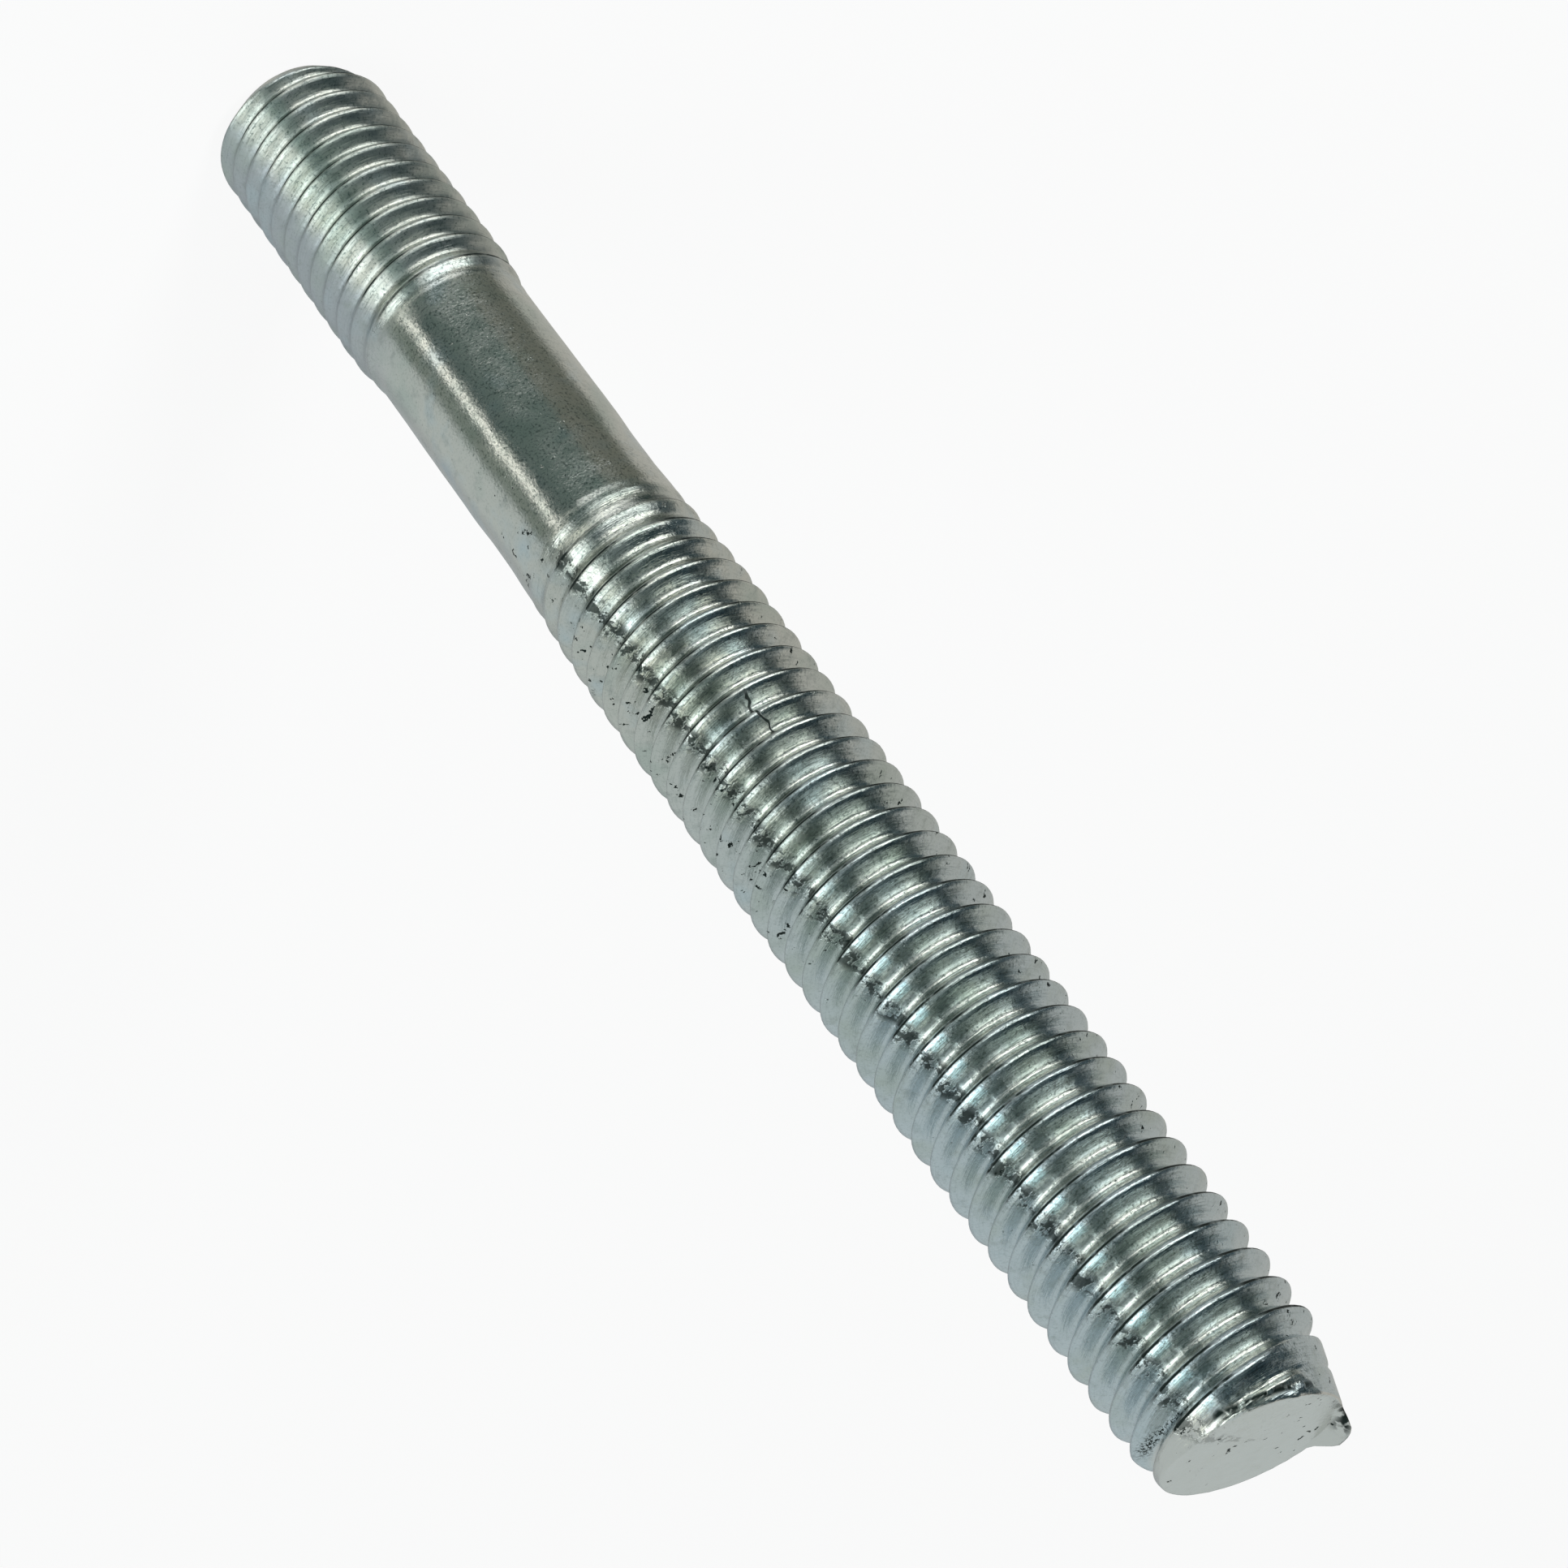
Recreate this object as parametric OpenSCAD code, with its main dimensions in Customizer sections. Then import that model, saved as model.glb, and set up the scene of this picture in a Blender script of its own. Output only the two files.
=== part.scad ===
// Double-ended injector stud, one piece of steel.
// It stands on the face of its tap end, with +Z along the shank towards the nut end.
// The threads are drawn as rings one pitch apart, without their lead.

/* [Stud] */
// Length from the tap-end face to the middle of the nut-end face
overall_len = 73.3; // [65:0.1:90]
// Diameter over the thread crests, the same at both ends
thread_d = 7.8; // [7.6:0.05:8]

/* [Thread] */
// Distance from one ring to the next
pitch = 1.25; // [1:0.25:1.5]
// Width of the flat on top of a ring
crest_flat = 0.2; // [0.1:0.05:0.3]
// Width of the flat at the bottom of a groove
root_flat = 0.25; // [0.1:0.05:0.3]

/* [Tap end] */
// Length of the short threaded end, with its run-out
tap_len = 15.2; // [10:0.1:18]
// Length over which the tap thread runs out into the waist
tap_runout = 2; // [0.5:0.1:3]
// Height of the middle of the tap end's first groove
tap_groove = 1.35; // [1:0.05:2]
// Height of the lead-in chamfer at the tap-end face
tap_chamfer_h = 1.2; // [0.3:0.1:1.5]
// Diameter of the flat face at the tap end
tap_face_d = 6; // [5:0.1:7]

/* [Waist] */
// Diameter of the plain rolled shank between the threads
waist_d = 7.2; // [6.5:0.05:7.4]
// Length of the plain shank
waist_len = 12.8; // [8:0.1:18]

/* [Nut end] */
// Length over which the crests rise from the waist to their full diameter
nut_runout = 5.6; // [2:0.1:9]
// Length over which the grooves sink from the waist to their full depth
groove_runin = 2.5; // [1:0.1:4]
// Distance from the start of the long thread to the middle of its first groove
nut_groove = 1.2; // [0.5:0.05:2]
// Height of the chamfer below the highest point of the nut-end face
nut_chamfer_h = 2.6; // [0.5:0.1:3]
// Diameter that the chamfer leaves at the highest point of the nut-end face
nut_face_d = 6; // [5:0.1:7]
// Slope of the cropped nut-end face, in degrees off square
nut_face_slope = 10; // [0:0.5:12]

/* [Hidden] */
$fn = 96;
thread_r = thread_d / 2;
waist_r = waist_d / 2;
nut_start = tap_len + waist_len;
// The flanks of a metric thread stand at 60 degrees to each other
flank_lean = 30;
thread_depth = (pitch - crest_flat - root_flat) / 2 / tan(flank_lean);
root_r = thread_r - thread_depth;
// The blank is cropped from a length that the slanting cut leaves
crop_rise = nut_face_d / 2 * tan(nut_face_slope);
blank_len = overall_len + crop_rise;
// Number of cones that the long run-out is turned from
runout_steps = 8;
// The groove cutter reaches this far outside the crests
clear = 0.5;

// Share of the full rise at share u of the run-out: steep off the waist, then flattening
function rise(u) = sin(90 * u);

function nut_runout_profile() = [
    for (i = [0 : runout_steps])
        let (u = i / runout_steps)
        [waist_r + (thread_r - waist_r) * rise(u), nut_start + nut_runout * u]
];

// Half section of the blank that the grooves are pressed into, from the tap end up
module blank_section() {
    polygon(concat(
        [
            [0, 0],
            [tap_face_d / 2, 0],
            [thread_r, tap_chamfer_h],
            [thread_r, tap_len - tap_runout],
            [waist_r, tap_len]
        ],
        nut_runout_profile(),
        [
            [thread_r, blank_len - nut_chamfer_h],
            [nut_face_d / 2, blank_len],
            [0, blank_len]
        ]
    ));
}

// Section of one groove: share 1 is the full depth, and share 0 ends at the waist
module groove(z, share) {
    bottom_r = waist_r - (waist_r - root_r) * share;
    top_r = thread_r + clear;
    half_root = root_flat / 2;
    half_top = half_root + (top_r - bottom_r) * tan(flank_lean);
    polygon([
        [bottom_r, z - half_root],
        [top_r, z - half_top],
        [top_r, z + half_top],
        [bottom_r, z + half_root]
    ]);
}

module tap_grooves() {
    for (z = [tap_groove : pitch : tap_len - pitch / 2])
        groove(z, min(1, (tap_len - z) / tap_runout));
}

module nut_grooves() {
    for (z = [nut_start + nut_groove : pitch : blank_len])
        groove(z, min(1, (z - nut_start) / groove_runin));
}

// Everything beyond the slanting nut-end face
module cropped_tip() {
    translate([0, 0, overall_len])
        rotate([0, nut_face_slope, 0])
            translate([-thread_d, -thread_d, 0])
                cube([2 * thread_d, 2 * thread_d, thread_d]);
}

module stud() {
    color("lightsteelblue")
        difference() {
            rotate_extrude()
                difference() {
                    blank_section();
                    tap_grooves();
                    nut_grooves();
                }
            cropped_tip();
        }
}

stud();
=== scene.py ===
import math

import bpy
from mathutils import Matrix, Vector


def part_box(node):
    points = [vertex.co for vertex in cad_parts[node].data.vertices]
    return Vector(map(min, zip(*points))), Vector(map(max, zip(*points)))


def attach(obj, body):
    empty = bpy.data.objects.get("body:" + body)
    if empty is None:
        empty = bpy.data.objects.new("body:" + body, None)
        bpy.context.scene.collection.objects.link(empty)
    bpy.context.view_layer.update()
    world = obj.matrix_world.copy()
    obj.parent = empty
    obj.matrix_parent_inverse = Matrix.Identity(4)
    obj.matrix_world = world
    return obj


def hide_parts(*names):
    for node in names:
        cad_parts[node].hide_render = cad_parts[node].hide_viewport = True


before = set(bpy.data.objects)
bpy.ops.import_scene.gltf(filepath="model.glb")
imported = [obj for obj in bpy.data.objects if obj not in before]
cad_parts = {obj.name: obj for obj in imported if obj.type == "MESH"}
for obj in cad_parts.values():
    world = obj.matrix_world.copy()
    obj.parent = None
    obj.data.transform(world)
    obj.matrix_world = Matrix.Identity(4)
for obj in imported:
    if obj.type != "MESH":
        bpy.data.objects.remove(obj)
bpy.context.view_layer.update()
scene = bpy.context.scene
mm = 0.001

# --- Camera ---------------------------------------------------------------------------------
# It stands in front of the stud and looks down on it, with the nut end nearer. It is rolled
# over, so that the nut end points to the lower right.
view_height = 41.935 * mm     # height of the point on the stud that it looks at
view_side = -0.136 * mm       # that point's place beside the axis
view_distance = 134.453 * mm
view_elevation = math.radians(31.0)
nut_end_angle = math.radians(-53.68)   # where +Z points in the view, from its right-hand side
frame_px = 1932               # the width of the square frame
lens_px = 4400                # the focal length, in the same pixels
sensor_mm = 36.0

aim = Vector((view_side, 0, view_height))
back = Vector((0, -math.cos(view_elevation), math.sin(view_elevation)))
level_right = Vector((1, 0, 0))
level_up = back.cross(level_right)
roll = math.pi / 2 - nut_end_angle
right = level_right * math.cos(roll) + level_up * math.sin(roll)
up = back.cross(right)

camera_data = bpy.data.cameras.new("camera")
camera_data.sensor_width = sensor_mm
camera_data.lens = sensor_mm * lens_px / frame_px
camera_data.clip_start = 1 * mm
camera = bpy.data.objects.new("camera", camera_data)
camera.matrix_world = Matrix.Translation(aim + back * view_distance) @ Matrix(
    (right, up, back)).transposed().to_4x4()
scene.collection.objects.link(camera)
scene.camera = camera

# --- Stud -----------------------------------------------------------------------------------
# A length of steel wire, cropped at both ends. Flat dies roll a thread on to each end and
# raise its crests above the plain waist, and it is then plated with bright zinc. Its skin is
# one strip that winds along the lead of the thread, from the middle of one face to the other.
stud_low, stud_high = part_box("stud")
crest_r = (stud_high.x - stud_low.x) / 2
length = 73.3 * mm            # on the axis
pitch = 1.25 * mm
face_slope = math.tan(math.radians(10))
mid_waist = 21.5 * mm
tap_start_turn = -0.20        # where the tap thread's crest begins, in turns
nut_start_turn = 0.10         # the same for the nut thread
stud_sizes = {
    "Length": length,
    "Crest radius": crest_r,
    "Thread depth": 0.693 * mm,
    "Tap thread depth": 0.55 * mm,
    "Tap thread wear": 0.65,
    "Pitch": pitch,
    "Crest share": 0.16,
    "Root share": 0.20,
    "Waist radius": 3.6 * mm,
    "Waist neck": 0.05 * mm,
    "Mid waist": mid_waist,
    "Tap thread end": 15.4 * mm,
    "Tap run-out": 2.2 * mm,
    "Nut thread start": 28.2 * mm,
    "Nut run-out": 6.2 * mm,
    "Groove run-in": 9 * mm,
    "Tap face radius": 3.03 * mm,
    "Tap chamfer": 1.2 * mm,
    "Tap chamfer tilt": 0.093,
    "Nut face radius": 3.25 * mm,
    "Nut face offset": 0.35 * mm,
    "Nut face slope": face_slope,
    "Nut chamfer slope": 0.235,
    "Nut chamfer tilt": 0.085,
    "Nut chamfer front": 0.90,
    "Tap start turn": tap_start_turn,
    "Nut start turn": nut_start_turn,
    "Burr": 0.6 * mm,
    "Ragged edge": 0.5 * mm,
    "Ripple": 0.04 * mm,
}
rows_per_pitch = 20
turn_steps = 72
neck_from = 24 * mm           # the waist is a little narrower from here
neck_to = 27.2 * mm           # to here
thread_rounding = 0.5         # how softly crest and root meet the flank, in shares of its height
chamfer_rounding = 0.12 * mm
weld_distance = 0.002 * mm


class Sums:
    """Writes a sum as nodes: each call adds one node and gives its output."""

    def __init__(self, tree):
        self.tree = tree

    def node(self, kind, values, **settings):
        node = self.tree.nodes.new(kind)
        for name, value in settings.items():
            setattr(node, name, value)
        for socket, value in zip(node.inputs, values):
            if isinstance(value, bpy.types.NodeSocket):
                self.tree.links.new(value, socket)
            elif value is not None:
                socket.default_value = value
        return node

    def __getattr__(self, name):
        """Any other call is the Math node's operation of that name."""
        def sum_of(*values):
            return self.node("ShaderNodeMath", values, operation=name.upper()).outputs[0]
        return sum_of

    def ramp(self, value, low, high, to_low=0.0, to_high=1.0, kind="LINEAR"):
        """to_low up to low, to_high from high on, and in between them between the two."""
        values = (value, low, high, to_low, to_high)
        return self.node("ShaderNodeMapRange", values, interpolation_type=kind).outputs[0]

    def step(self, value, low, high, to_low=0.0, to_high=1.0):
        """A ramp that starts and ends gently."""
        return self.ramp(value, low, high, to_low, to_high, kind="SMOOTHSTEP")

    def band(self, value, low, high, soft):
        """1 from low to high, fading out over soft on both sides."""
        rise = self.step(value, low - soft, low + soft)
        fall = self.step(value, high - soft, high + soft, 1, 0)
        return self.multiply(rise, fall)

    def vector(self, x, y, z):
        return self.node("ShaderNodeCombineXYZ", (x, y, z)).outputs[0]

    def noise(self, place, scale, detail=2.0, roughness=0.5):
        """Uneven from 0 to 1, with about as many lumps to a unit of place as scale says."""
        node = self.tree.nodes.new("ShaderNodeTexNoise")
        self.tree.links.new(place, node.inputs["Vector"])
        node.inputs["Scale"].default_value = scale
        node.inputs["Detail"].default_value = detail
        node.inputs["Roughness"].default_value = roughness
        return node.outputs[0]


def stud_tree(material):
    """The strip, from a flat grid. A turn is 0 towards +X, 0.25 towards +Y and 0.75 in front."""
    tree = bpy.data.node_groups.new("stud_strip", "GeometryNodeTree")
    face = tree.interface
    face.new_socket("Geometry", in_out="OUTPUT", socket_type="NodeSocketGeometry")
    for name in stud_sizes:
        face.new_socket(name, in_out="INPUT", socket_type="NodeSocketFloat")
    face.new_socket("Rows per pitch", in_out="INPUT", socket_type="NodeSocketInt")
    face.new_socket("Turn steps", in_out="INPUT", socket_type="NodeSocketInt")
    given = tree.nodes.new("NodeGroupInput").outputs
    out = tree.nodes.new("NodeGroupOutput")
    s = Sums(tree)

    # the flat grid that becomes the strip: a row for each step along the lead, a column for
    # each step of a turn
    spare = s.add(s.add(given["Tap face radius"], given["Nut face radius"]),
                  s.multiply(given["Pitch"], 3))
    rows = s.ceil(s.multiply(s.divide(s.add(given["Length"], spare), given["Pitch"]),
                             given["Rows per pitch"]))
    columns = s.add(given["Turn steps"], 1)
    grid = s.node("GeometryNodeMeshGrid", (None, None, rows, columns))
    index = tree.nodes.new("GeometryNodeInputIndex").outputs[0]
    row = s.floor(s.divide(s.add(index, 0.5), columns))
    column = s.subtract(index, s.multiply(row, columns))
    turn = s.divide(column, given["Turn steps"])
    angle = s.multiply(turn, 2 * math.pi)
    cos_a = s.cosine(angle)
    sin_a = s.sine(angle)

    # how far along the outline each point lies, from the rim of the tap face
    start = s.add(given["Tap face radius"], given["Pitch"])
    lead = s.multiply(s.divide(row, given["Rows per pitch"]), given["Pitch"])
    along = s.add(s.subtract(lead, start), s.multiply(turn, given["Pitch"]))

    # the nut face: its rim lies off the axis, and it slopes down towards +X
    rim = s.add(given["Nut face radius"], s.multiply(given["Nut face offset"], cos_a))
    end_z = s.subtract(given["Length"],
                       s.multiply(s.multiply(rim, cos_a), given["Nut face slope"]))
    z = s.maximum(s.minimum(along, end_z), 0)
    below_face = s.subtract(end_z, z)

    # the thread's section: 0 on the root, 1 on the crest, for a thread of each end; the turns
    # are counted from a hundred below, so that they stay above nought
    is_nut = s.greater_than(z, given["Mid waist"])
    is_tap = s.subtract(1, is_nut)
    start_turn = s.add(s.multiply(is_nut, given["Nut start turn"]),
                       s.multiply(is_tap, given["Tap start turn"]))
    coil = s.subtract(s.divide(z, given["Pitch"]), turn)
    phase = s.fract(s.add(s.subtract(coil, start_turn), 100.5))
    from_root = s.subtract(1, s.multiply(s.absolute(s.subtract(phase, 0.5)), 2))
    flank = s.subtract(s.subtract(1, given["Crest share"]), given["Root share"])
    straight = s.divide(s.subtract(from_root, given["Root share"]), flank)
    section = s.smooth_max(straight, 0, thread_rounding)
    section = s.smooth_min(section, 1, thread_rounding)

    # the crests run out into the waist
    tap_shelf = s.subtract(given["Tap thread end"], given["Tap run-out"])
    tap_crest = s.ramp(z, tap_shelf, given["Tap thread end"], given["Crest radius"],
                       given["Waist radius"])
    nut_rise = s.ramp(z, given["Nut thread start"],
                      s.add(given["Nut thread start"], given["Nut run-out"]), 0, math.pi / 2)
    nut_crest = s.add(given["Waist radius"], s.multiply(
        s.sine(nut_rise), s.subtract(given["Crest radius"], given["Waist radius"])))
    neck = s.multiply(s.band(z, neck_from, neck_to, 1 * mm), given["Waist neck"])
    crest = s.subtract(s.maximum(tap_crest, nut_crest), neck)

    # the tap thread's groove is worn shallow towards -X and +X, and comes up to the waist
    worn_minus_x = s.band(turn, 0.38, 0.55, 0.04)
    worn_plus_x = s.maximum(s.band(turn, 0.89, 1.1, 0.06), s.band(turn, -0.1, 0.1, 0.06))
    tap_depth = given["Tap thread depth"]
    for worn in (worn_minus_x, worn_plus_x):
        kept = s.subtract(1, s.multiply(worn, given["Tap thread wear"]))
        tap_depth = s.multiply(tap_depth, kept)
    tap_root = s.ramp(z, s.subtract(tap_shelf, 0.8 * mm),
                      s.subtract(given["Tap thread end"], 0.2 * mm),
                      s.subtract(given["Crest radius"], tap_depth), given["Waist radius"])

    # the nut thread's groove goes down from the waist, quickly at first
    root_r = s.subtract(given["Crest radius"], given["Thread depth"])
    run_in = s.power(s.ramp(z, s.add(given["Nut thread start"], 0.4 * mm),
                            s.add(given["Nut thread start"], given["Groove run-in"])), 0.8)
    nut_root = s.subtract(given["Waist radius"],
                          s.multiply(run_in, s.subtract(given["Waist radius"], root_r)))
    root = s.add(s.multiply(is_nut, nut_root), s.multiply(is_tap, tap_root))
    root = s.subtract(root, neck)
    radius = s.add(root, s.multiply(section, s.subtract(crest, root)))

    # the chamfers cut the thread at both ends; the nut end's is broader in front
    tap_height = s.subtract(given["Tap chamfer"], s.multiply(
        s.multiply(given["Crest radius"], cos_a), given["Tap chamfer tilt"]))
    tap_cut = s.ramp(z, 0, tap_height, given["Tap face radius"],
                     s.add(given["Crest radius"], 0.1 * mm))
    nut_slope = s.subtract(given["Nut chamfer slope"],
                           s.multiply(cos_a, given["Nut chamfer tilt"]))
    from_front = s.sine(s.subtract(angle, 0.35))
    to_front = s.power(s.maximum(0, s.multiply(from_front, -1)), 3)
    nut_slope = s.add(nut_slope, s.multiply(to_front, given["Nut chamfer front"]))
    nut_cut = s.add(rim, s.multiply(below_face, nut_slope))
    radius = s.smooth_min(radius, s.minimum(tap_cut, nut_cut), chamfer_rounding)

    # the cropping tool left the edge of the nut face ragged, with one burr bent outwards
    around = s.vector(s.multiply(cos_a, given["Crest radius"]),
                      s.multiply(sin_a, given["Crest radius"]), z)
    by_edge = s.step(below_face, 1.6 * mm, 0.1 * mm)
    front = s.step(s.absolute(s.subtract(turn, 0.74)), 0.12, 0.20, 1, 0)
    teeth = s.subtract(s.noise(around, 1500, 2.0, 0.6), 0.5)
    ragged = s.multiply(s.multiply(teeth, given["Ragged edge"]), s.multiply(by_edge, front))
    lip = s.multiply(s.band(turn, 0.335, 0.435, 0.03), s.step(below_face, 0.7 * mm, 0.1 * mm))
    wave = s.multiply(s.subtract(s.noise(around, 420, 2.0, 0.5), 0.5), given["Ripple"])
    radius = s.add(s.add(radius, wave), s.add(ragged, s.multiply(lip, 0.15 * mm)))

    # past a rim the strip turns over the face and winds in to its middle
    tap_in = s.maximum(0, s.subtract(1, s.divide(s.maximum(0, s.multiply(along, -1)),
                                                 given["Tap face radius"])))
    nut_in = s.maximum(0, s.subtract(1, s.divide(s.maximum(0, s.subtract(along, end_z)),
                                                 given["Nut face radius"])))
    reach = s.multiply(radius, s.multiply(tap_in, nut_in))
    x = s.add(s.multiply(reach, cos_a),
              s.multiply(given["Nut face offset"], s.subtract(1, nut_in)))
    y = s.multiply(reach, sin_a)
    on_face = s.greater_than(along, end_z)
    face_z = s.subtract(given["Length"], s.multiply(x, given["Nut face slope"]))
    height = s.add(s.multiply(on_face, face_z), s.multiply(s.subtract(1, on_face), z))
    edge_in = s.step(nut_in, 0.88, 1)
    height = s.add(height, s.multiply(edge_in, s.add(s.multiply(lip, given["Burr"]), ragged)))
    put = s.node("GeometryNodeSetPosition", (grid.outputs["Mesh"], None, s.vector(x, y, height)))

    # the turns are welded to each other, and the faces turned outwards
    weld = s.node("GeometryNodeMergeByDistance", (put.outputs[0],))
    weld.inputs["Distance"].default_value = weld_distance
    outward = s.node("GeometryNodeFlipFaces", (weld.outputs[0],))
    smooth = s.node("GeometryNodeSetShadeSmooth", (outward.outputs[0],))
    real = s.node("GeometryNodeRealizeInstances", (smooth.outputs[0],))
    coat = s.node("GeometryNodeSetMaterial", (real.outputs[0],))
    coat.inputs["Material"].default_value = material
    tree.links.new(coat.outputs[0], out.inputs[0])
    return tree


zinc = bpy.data.materials.new("bright_zinc_plate")
zinc.use_nodes = True
plate = zinc.node_tree
shader = plate.nodes["Principled BSDF"]
shader.inputs["Metallic"].default_value = 1
m = Sums(plate)

# where a point lies: its height, its side in degrees round from the front towards -X, its
# depth below the nut face, and its place on the thread, from one crest to the next; the turns
# are counted from ten below, so that they stay above nought
place = plate.nodes.new("ShaderNodeTexCoord").outputs["Object"]
x, y, z = m.node("ShaderNodeSeparateXYZ", (place,)).outputs
turn = m.fract(m.add(m.divide(m.arctan2(y, x), 2 * math.pi), 1))
side = m.multiply(m.subtract(m.fract(m.subtract(1.25, turn)), 0.5), 360)
is_nut = m.greater_than(z, mid_waist)
start_turn = m.add(tap_start_turn, m.multiply(is_nut, nut_start_turn - tap_start_turn))
coils = m.add(m.subtract(m.subtract(m.divide(z, pitch), turn), start_turn), 10)
groove = m.fract(coils)
run = m.add(m.floor(coils), turn)
out_from_axis = m.sqrt(m.add(m.multiply(x, x), m.multiply(y, y)))
face_depth = m.subtract(m.subtract(length, m.multiply(x, face_slope)), z)


def all_of(*shares):
    """Where all of the shares are."""
    both = shares[0]
    for share in shares[1:]:
        both = m.multiply(both, share)
    return both


def heights(low, high, soft):
    """1 between two heights, in millimetres."""
    return m.band(z, low * mm, high * mm, soft * mm)


def rise(low, high):
    """From 0 at one height to 1 at the other, in millimetres."""
    return m.ramp(z, low * mm, high * mm)


def depths(low, high, soft):
    """1 between two depths below the nut face, in millimetres."""
    return m.band(face_depth, low * mm, high * mm, soft * mm)


def sides(low, high, soft):
    """1 between two sides, in degrees."""
    return m.band(side, low, high, soft)


def on_thread(low, high, soft):
    """1 between two places on the thread, from 0 on a crest to 1 on the next."""
    return m.band(groove, low, high, soft)


threaded = m.multiply(m.subtract(1, heights(15.2, 28.6, 0.6)),
                      m.ramp(m.minimum(face_depth, z), 0.03 * mm, 0.06 * mm))
on_waist = heights(15.6, 28.3, 0.5)
tap_end = rise(17, 13)
at_front = m.ramp(m.absolute(m.subtract(side, 12)), 38, 54, 1, 0.25)
patches = m.noise(place, 330, 3.0, 0.55)
fine_patches = m.noise(place, 1500, 3.0, 0.6)
specks = m.noise(place, 9000, 2.0, 0.7)
grain = m.noise(place, 7000, 3.0, 0.6)
dents = m.noise(place, 2300, 2.0, 0.5)
# fine lines along the thread, that the dies left
lines = m.noise(m.vector(m.multiply(groove, 26), m.multiply(run, 18), 0), 1, 3.0, 0.65)

# where the plate is brighter, duller or of another colour, and where highlights and shade are
# painted on it
# a painted highlight, cream, on the roots of the thread round the front
root_highlight = all_of(on_thread(0.40, 0.88, 0.06), sides(-26, 46, 5), threaded)
# painted shade on the flanks round the front, uneven in strength
flank_shade = all_of(on_thread(0.06, 0.33, 0.05), sides(-4, 50, 5), threaded,
                    m.ramp(patches, 0.38, 0.56, 0.25, 0.6))
# greener and darker on the front of the tap thread, from 5 to 10 mm up
tap_front_green = all_of(sides(-28, 10, 8), heights(5, 10, 1.5))
# mottled painted shade on the front of the nut thread's first turns
first_turns_shade = all_of(sides(-34, 6, 6), heights(29, 52, 3),
                     m.ramp(fine_patches, 0.42, 0.58, 0.15, 1))
# painted shade on the front of the tap thread
tap_front_shade = all_of(sides(-9, 3, 4), heights(1, 15, 0.5), m.ramp(patches, 0.35, 0.6, 0.4, 1))
top_turns = all_of(sides(-19, -8, 2), rise(46, 54))
# a painted blue glint on the crest shoulders of the top turns
shoulder_glint = all_of(top_turns, on_thread(0.04, 0.22, 0.04))
# a painted dark line of shade down the flanks of the top turns
flank_shade_line = all_of(top_turns, on_thread(0.30, 0.42, 0.03))
streaks = all_of(m.ramp(lines, 0.50, 0.70), at_front, threaded)
peppered = all_of(m.ramp(specks, 0.52, 0.72), at_front)
rubbed = m.maximum(all_of(depths(-1, 0.95, 0.1), sides(-120, -14, 8)),
                   m.ramp(face_depth, 0.06 * mm, 0.02 * mm))

# a thin painted shade along each crest's far edge, where the crest hides the groove behind it,
# broken by dents and fainter at some sides
crest_edge_shade = all_of(on_thread(0.89, 0.995, 0.015), m.ramp(dents, 0.30, 0.46, 0.5, 1),
              m.ramp(out_from_axis, 3.66 * mm, 3.74 * mm),
              m.subtract(1, m.multiply(sides(-120, -32, 6), 0.85)),
              m.subtract(1, m.multiply(sides(8, 40, 4), 0.6)))
# on the tap thread's front the painted shade at the crest's far edge is broader, in patches
tap_crest_shade = m.multiply(all_of(on_thread(0.80, 1.0, 0.03), m.ramp(dents, 0.42, 0.52)),
                     all_of(sides(-34, -12, 4), heights(1.5, 14, 0.5)))

# torn metal round the nut face, and dirt below its rubbed chamfer
burnt = all_of(sides(100, 128, 8), m.band(out_from_axis, 2.75 * mm, 3.05 * mm, 0.12 * mm),
               rise(72.6, 73))
torn = m.maximum(all_of(depths(0.2, 0.42, 0.1), sides(-12, 52, 8)), burnt)
torn = m.multiply(torn, m.ramp(dents, 0.42, 0.52))
under_rub = all_of(depths(1.0, 1.2, 0.08), sides(-76, -14, 8), m.ramp(specks, 0.48, 0.56))
torn = m.maximum(torn, under_rub)

# pits, more of them where the plate is worn; a ragged dark band along one side, which is a
# painted reflection; and one short scratch
worn = all_of(sides(-72, -24, 6), heights(25, 50, 4), 1.5)
worn = m.maximum(worn, all_of(sides(-90, -25, 8), rise(72, 72.6)))
worn = m.maximum(worn, all_of(m.ramp(side, 48, 60, 0, 0.8), rise(33, 38)))
pits = m.ramp(m.add(m.noise(place, 2300, 3.0, 0.65), m.multiply(worn, 0.035)), 0.68, 0.72)
pits = m.multiply(pits, m.add(0.35, worn))
painted_dark_band = m.multiply(m.ramp(m.noise(place, 2600, 3.0, 0.7), 0.49, 0.55),
                  all_of(sides(-33, -21, 3), heights(29, 73, 1)))
scratch_side = m.add(side, m.multiply(m.noise(place, 900, 2.0, 0.6), 14))
scratch = all_of(m.band(scratch_side, 22.3, 23.9, 0.3), heights(39.9, 42.1, 0.1))
# the dark marks: pits, torn metal and the scratch, with the painted shade and the painted dark
# band
dirt_and_painted_shade = m.add(m.add(m.maximum(crest_edge_shade, tap_crest_shade), pits), m.add(m.multiply(painted_dark_band, 0.85), torn))
dirt_and_painted_shade = m.add(dirt_and_painted_shade, m.add(m.multiply(scratch, 0.9), m.multiply(flank_shade_line, 0.55)))
dirt_and_painted_shade = m.minimum(dirt_and_painted_shade, 1)


def lay(sums, under, share, colour):
    """Lays a colour over what is under it, where share says."""
    mix = sums.node("ShaderNodeMix", (share,), data_type="RGBA")
    for socket, value in ((mix.inputs[6], under), (mix.inputs[7], colour)):
        if isinstance(value, bpy.types.NodeSocket):
            sums.tree.links.new(value, socket)
        else:
            socket.default_value = (*value, 1)
    return mix.outputs[2]
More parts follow.
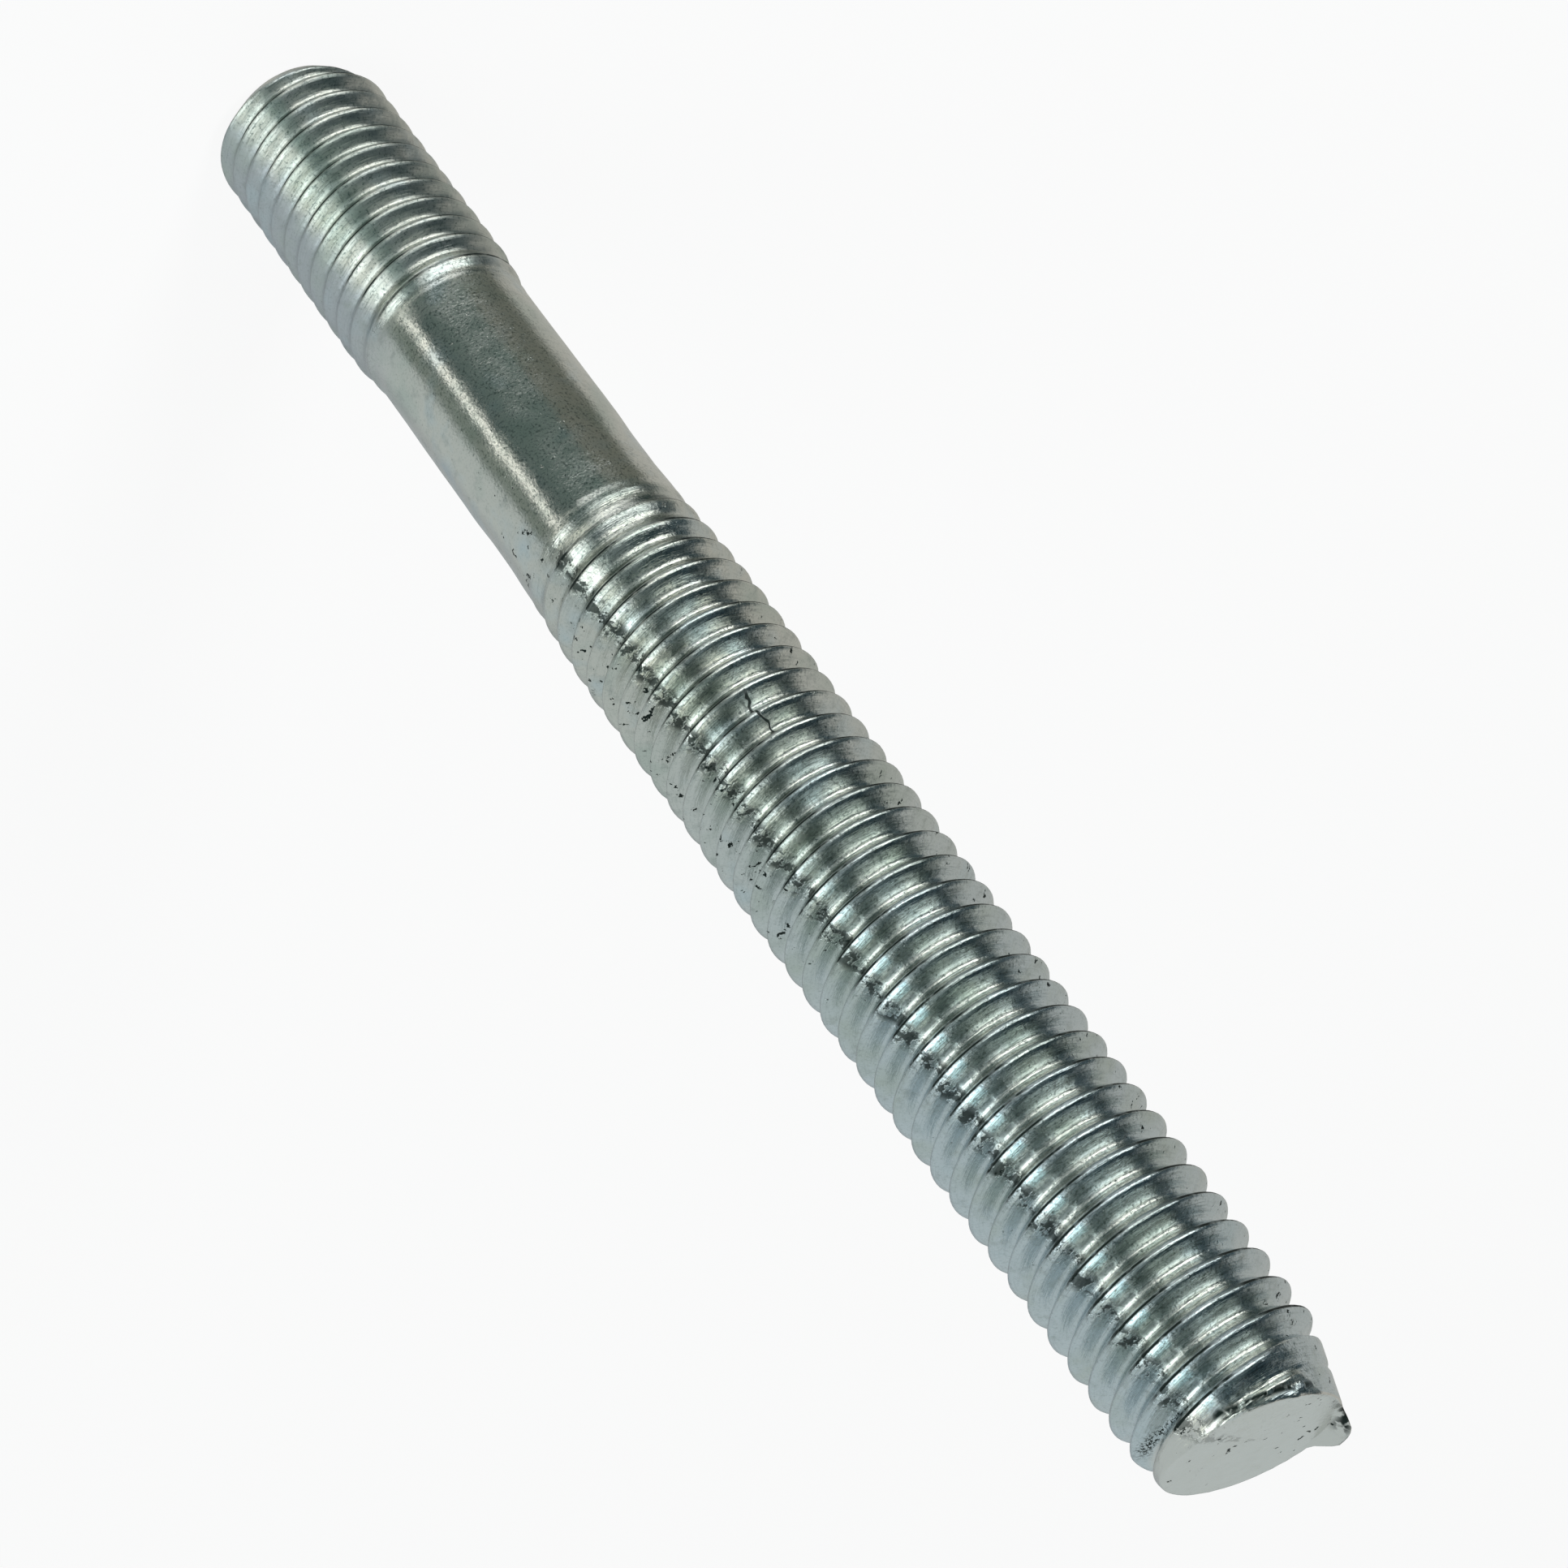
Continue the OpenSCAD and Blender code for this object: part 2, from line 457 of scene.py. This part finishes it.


# the plate's own colour, and what lies over it in order, painted highlights and shade as well:
# where, how strong, and the colour
colour = (0.67, 0.675, 0.625)
layers = (
    (rise(36, 54), 1, (0.62, 0.69, 0.72)),                       # bluer near the nut end
    (all_of(tap_end, m.ramp(side, -28, -38)), 1, (0.53, 0.56, 0.585)),   # grey at the tap end
    # painted highlight on the roots
    (root_highlight, 0.85, (0.80, 0.80, 0.73)),
    # painted shade on the flanks
    (flank_shade, 1, (0.30, 0.36, 0.37)),
    (m.ramp(patches, 0.50, 0.68), 0.75, (0.52, 0.58, 0.53)),     # green patches
    (m.ramp(patches, 0.46, 0.30), 0.7, (0.56, 0.66, 0.70)),      # blue patches
    (tap_front_green, 0.5, (0.44, 0.52, 0.44)),
    # mottled painted shade on the nut thread's first turns
    (first_turns_shade, 0.45, (0.30, 0.34, 0.29)),
    # painted shade on the tap thread's front
    (tap_front_shade, 0.8, (0.30, 0.38, 0.34)),
    # painted blue glint on the shoulders
    (shoulder_glint, 0.8, (0.62, 0.86, 0.95)),
    (m.ramp(fine_patches, 0.55, 0.75), 0.5, (0.36, 0.40, 0.38)),  # small dull spots
    (streaks, 0.7, (0.16, 0.20, 0.19)),
    (peppered, 0.85, (0.10, 0.14, 0.13)),
    (rubbed, 0.85, (0.73, 0.72, 0.68)),
    # dirt, with the painted shade of crest edges and flank lines and the painted dark band
    (dirt_and_painted_shade, 1, (0.02, 0.03, 0.027)),
)
for share, strength, shade in layers:
    colour = lay(m, colour, m.multiply(share, strength), shade)
plate.links.new(colour, shader.inputs["Base Color"])

# duller in patches, in the dirt and the painted shade, and at the tap end, and smoother on the
# waist
rough = m.add(m.ramp(fine_patches, 0.3, 0.7, 0.16, 0.28), m.multiply(dirt_and_painted_shade, 0.3))
rough = m.subtract(rough, m.multiply(on_waist, 0.04))
rough = m.add(rough, m.multiply(tap_end, 0.12))
plate.links.new(rough, shader.inputs["Roughness"])

# how high each stands, in metres; the dirt and the painted shade lie in hollows
lines_high = 1.5e-5
grain_high = 9e-6
dents_high = 1.1e-5
waist_dents_less = 7e-6
dirt_and_shade_deep = 1.5e-5
relief = m.multiply(m.multiply(lines, threaded), lines_high)
relief = m.add(relief, m.multiply(grain, grain_high))
dents_here = m.subtract(dents_high, m.multiply(on_waist, waist_dents_less))
relief = m.add(relief, m.multiply(dents, dents_here))
relief = m.subtract(relief, m.multiply(dirt_and_painted_shade, dirt_and_shade_deep))
bump = plate.nodes.new("ShaderNodeBump")
bump.inputs["Distance"].default_value = 1
plate.links.new(relief, bump.inputs["Height"])
plate.links.new(bump.outputs[0], shader.inputs["Normal"])

builder = bpy.data.objects.new("stud_builder", bpy.data.meshes.new("stud_builder"))
scene.collection.objects.link(builder)
rolled = builder.modifiers.new("rolled", "NODES")
rolled.node_group = stud_tree(zinc)
values = dict(stud_sizes)
values["Rows per pitch"] = rows_per_pitch
values["Turn steps"] = turn_steps
for item in rolled.node_group.interface.items_tree:
    if item.in_out == "INPUT":
        rolled[item.identifier] = values[item.name]
builder.update_tag()
bpy.context.view_layer.update()
graph = bpy.context.evaluated_depsgraph_get()
stud_mesh = bpy.data.meshes.new_from_object(builder.evaluated_get(graph))
builder.modifiers.clear()
bpy.data.objects.remove(builder)
stud = bpy.data.objects.new("rolled_stud", stud_mesh)
scene.collection.objects.link(stud)
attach(stud, "root")
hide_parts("stud")

# --- Floor ----------------------------------------------------------------------------------
# A plain pale card, far wider than the stud, that lies under it. It looks white and keeps the
# stud's shadow. The metal mirrors the light tent in its place.
floor_half = 0.6
card_tone = 0.8
card_glow = 0.9               # how much of what the camera sees of the card is plain white
floor_mesh = bpy.data.meshes.new("floor")
corners = [(-floor_half, -floor_half, 0), (floor_half, -floor_half, 0),
           (floor_half, floor_half, 0), (-floor_half, floor_half, 0)]
floor_mesh.from_pydata(corners, [], [(0, 1, 2, 3)])
floor = bpy.data.objects.new("floor", floor_mesh)
scene.collection.objects.link(floor)
card = bpy.data.materials.new("pale_card")
card.use_nodes = True
card_nodes = card.node_tree.nodes
card_nodes.clear()
card_sums = Sums(card.node_tree)
paper = card_nodes.new("ShaderNodeBsdfDiffuse")
paper.inputs["Color"].default_value = (card_tone, card_tone, card_tone, 1)
white = card_nodes.new("ShaderNodeEmission")
white.inputs["Color"].default_value = (1, 1, 1, 1)
seen = card_nodes.new("ShaderNodeLightPath").outputs["Is Camera Ray"]
share = card_sums.multiply(seen, card_glow)
mixed = card_sums.node("ShaderNodeMixShader", (share, paper.outputs[0], white.outputs[0]))
card_out = card_nodes.new("ShaderNodeOutputMaterial")
card.node_tree.links.new(mixed.outputs[0], card_out.inputs[0])
floor_mesh.materials.append(card)
floor.visible_glossy = False

# --- Light ----------------------------------------------------------------------------------
# A light tent round the stud: pale cloth, with two soft windows in front, a dark gap beside
# them and a table below, and one small lamp overhead for the stud's shadow.
world = bpy.data.worlds.new("tent")
scene.world = world
world.use_nodes = True
tent = world.node_tree
w = Sums(tent)
direction = tent.nodes.new("ShaderNodeTexCoord").outputs["Generated"]
parts = w.node("ShaderNodeSeparateXYZ", (direction,)).outputs
around = w.degrees(w.arctan2(w.multiply(parts[0], -1), w.multiply(parts[1], -1)))
down = w.degrees(w.arccosine(parts[2]))
# each panel: from and to in degrees round from the front towards -X, its soft edge, from and
# to in degrees down from straight up, its soft edge, and its colour; a later one lies over an
# earlier one
panels = (
    (54, 108, 10, -20, 115, 4, (0.045, 0.07, 0.08)),       # dark gap
    (48, 110, 8, 117, 134, 3, (0.17, 0.18, 0.155)),        # brown gap below it
    (108, 200, 5, 14, 200, 5, (0.50, 0.50, 0.47)),         # cloth beyond them
    (-200, -66, 4, -20, 200, 5, (0.55, 0.60, 0.60)),       # cloth on the other side
    (70, 150, 14, 8, 46, 6, (0.02, 0.04, 0.05)),           # dark edge overhead
    (2, 30, 5, 40, 104, 5, (0.32, 0.36, 0.37)),            # dim window
    (16, 74, 5, 78, 105, 3, (3.0, 3.1, 3.0)),              # its bright sill
    (6, 78, 6, 137, 172, 4, (1.5, 1.55, 1.55)),            # its light on the table
    (88, 150, 6, 137, 170, 4, (0.03, 0.05, 0.05)),         # the table's shade
    (-72, -46, 5, 34, 106, 5, (0.42, 0.47, 0.46)),         # cloth beside the tall window
    (-66, -46, 4, 106, 174, 5, (0.21, 0.25, 0.225)),       # shade below it
    (-200, -128, 12, 90, 200, 8, (0.43, 0.46, 0.47)),      # the far end of that side's cloth
    (-14, 50, 8, 111, 134, 4, (0.125, 0.17, 0.16)),        # the table between the windows
    (-46, -18, 3, 13, 103, 4, (2.4, 2.6, 2.6)),            # tall window
    (-76, -22, 8, 14, 34, 4, (1.15, 1.20, 1.05)),          # its top, leaning over
    (-46, -22, 3, 110, 121, 3, (1.05, 1.10, 1.0)),         # its light at the table's edge
    (-38, -31, 2, 121, 150, 3, (2.0, 2.0, 1.9)),           # a bright streak down the table
    (-48, -6, 4, 146, 174, 4, (1.20, 1.25, 1.15)),         # its light on the table
)
tone = (0.095, 0.13, 0.13)
for left, right_end, side_soft, top, foot, foot_soft, shade in panels:
    share = w.multiply(w.band(around, left, right_end, side_soft),
                       w.band(down, top, foot, foot_soft))
    tone = lay(w, tone, share, shade)
# past the floor's edge the camera sees a white like the floor's
backdrop = 0.956
seen = tent.nodes.new("ShaderNodeLightPath").outputs["Is Camera Ray"]
tone = lay(w, tone, seen, (backdrop, backdrop, backdrop))
background = tent.nodes["Background"]
tent.links.new(tone, background.inputs["Color"])
background.inputs["Strength"].default_value = 1.0

lamp_data = bpy.data.lights.new("key", "AREA")
lamp_data.energy = 0.6
lamp_data.size = 0.1
lamp = bpy.data.objects.new("key", lamp_data)
lamp.location = (-0.2, -0.2, 0.3)
lamp_aim = Vector((0, 0, 0.04))
lamp.rotation_euler = (lamp_aim - lamp.location).to_track_quat("-Z", "Y").to_euler()
lamp.visible_glossy = False
scene.collection.objects.link(lamp)

scene.view_settings.view_transform = "Standard"
